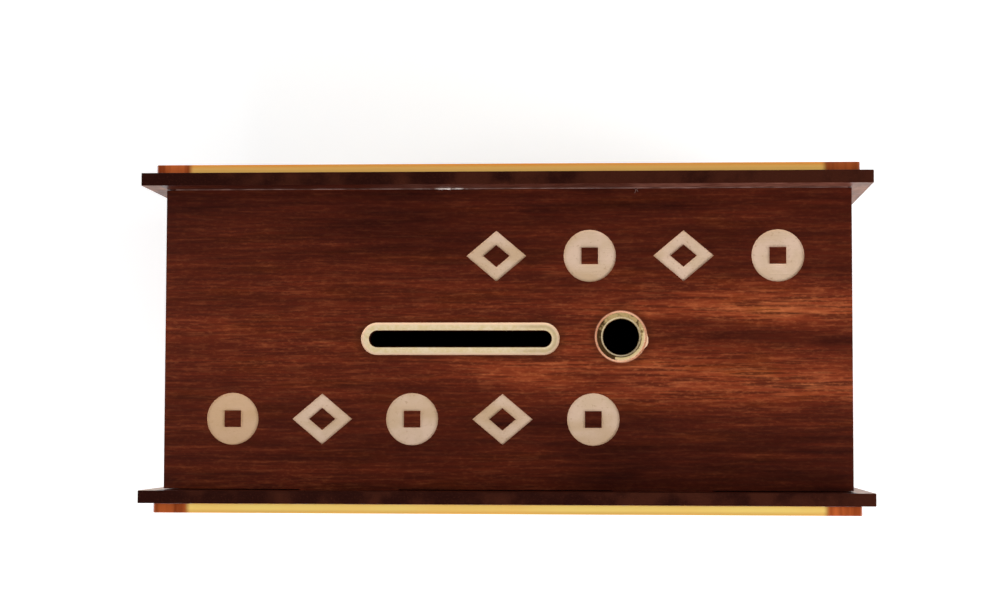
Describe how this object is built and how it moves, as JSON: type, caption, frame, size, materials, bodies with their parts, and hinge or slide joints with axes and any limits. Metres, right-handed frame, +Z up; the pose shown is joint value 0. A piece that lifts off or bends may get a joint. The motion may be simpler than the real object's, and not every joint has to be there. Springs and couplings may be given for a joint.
{
  "type": "wooden money box",
  "caption": "Rectangular box of thin dark-stained board with overhanging face panels, a recessed slotted top, clear sheets over printed faces and a sliding hatch in the base.",
  "frame": {"origin": "under the middle of the box, on the surface that it stands on", "axes": "+X along the box to its right, +Y to its back, +Z up"},
  "size_m": [0.2, 0.0962, 0.15],
  "materials": {
    "top_board": "mahogany wood-grain foil, satin, with pale engraved marks and bands",
    "face_board": "dark wood-grain foil, with charred laser-cut edges",
    "body_board": "mahogany wood-grain foil, with charred laser-cut edges",
    "bare_board": "bare fibreboard, matt, with brown laser-cut edges",
    "clear_sheet": "clear cast acrylic with polished cut edges",
    "printed_film": "printed vinyl film, golden with red-brown ends",
    "screw_steel": "zinc-plated, cross recess"
  },
  "bodies": {
    "box": {"front_panel": "face_board", "back_panel": "face_board", "top_plate": "top_board", "base_plate": "body_board", "left_end": "body_board", "right_end": "body_board", "front_print": "printed_film", "back_print": "printed_film", "front_acrylic": "clear_sheet", "back_acrylic": "clear_sheet", "rail_spacer_front": "bare_board", "rail_spacer_back": "bare_board", "rail_lip_front": "bare_board", "rail_lip_back": "bare_board", "rail_stop_left": "bare_board", "rail_stop_right": "bare_board", "rail_screw_front_left": "screw_steel", "rail_screw_back_left": "screw_steel", "rail_screw_front_right": "screw_steel", "rail_screw_back_right": "screw_steel"},
    "hatch": {"hatch_door": "body_board", "hatch_pull": "bare_board"}
  },
  "joints": [
    {"name": "hatch_slide", "type": "slide", "parent": "box", "child": "hatch", "axis": [1, 0, 0], "range_m": [0, 0.062]}
  ]
}
